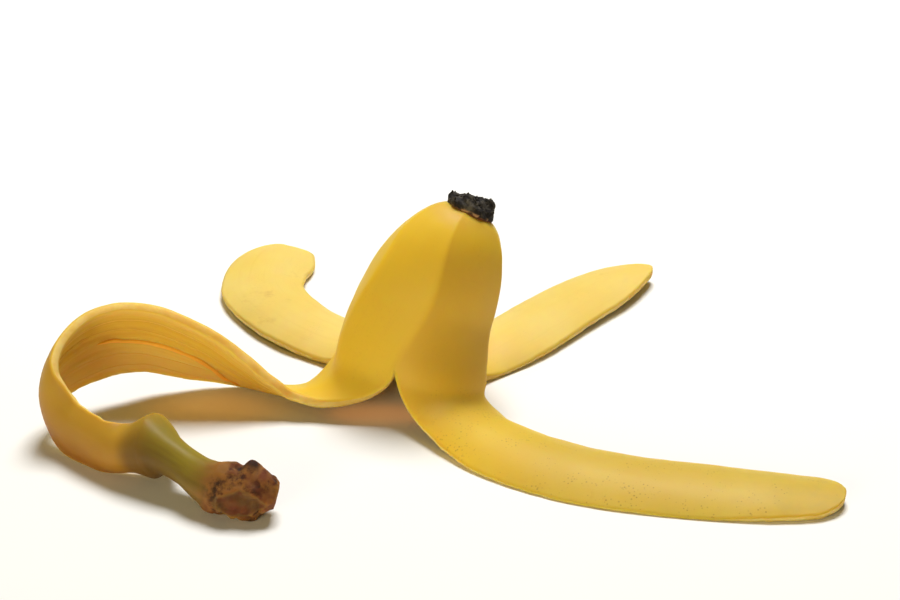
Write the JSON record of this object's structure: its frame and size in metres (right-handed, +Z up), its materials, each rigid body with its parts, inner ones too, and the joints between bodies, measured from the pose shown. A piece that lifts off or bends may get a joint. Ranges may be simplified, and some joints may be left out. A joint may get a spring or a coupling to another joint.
{
  "type": "banana peel",
  "caption": "Empty banana peel stood on a table, blossom end up: a hollow leaning cap with long splayed strips, the strip with the stem twisted up into a loop.",
  "frame": {"origin": "under the middle of the peel's outline, on the table", "axes": "+X to the viewer's right, along the long strip and the longest extent; +Y away from the viewer; +Z up"},
  "size_m": [0.2346, 0.1842, 0.066],
  "materials": {
    "peel_skin": "matte yellow fruit skin, with a paler flesh side, a brown stem end and a black blossom end"
  },
  "bodies": {
    "root": {"peel": "peel_skin"}
  },
  "joints": []
}
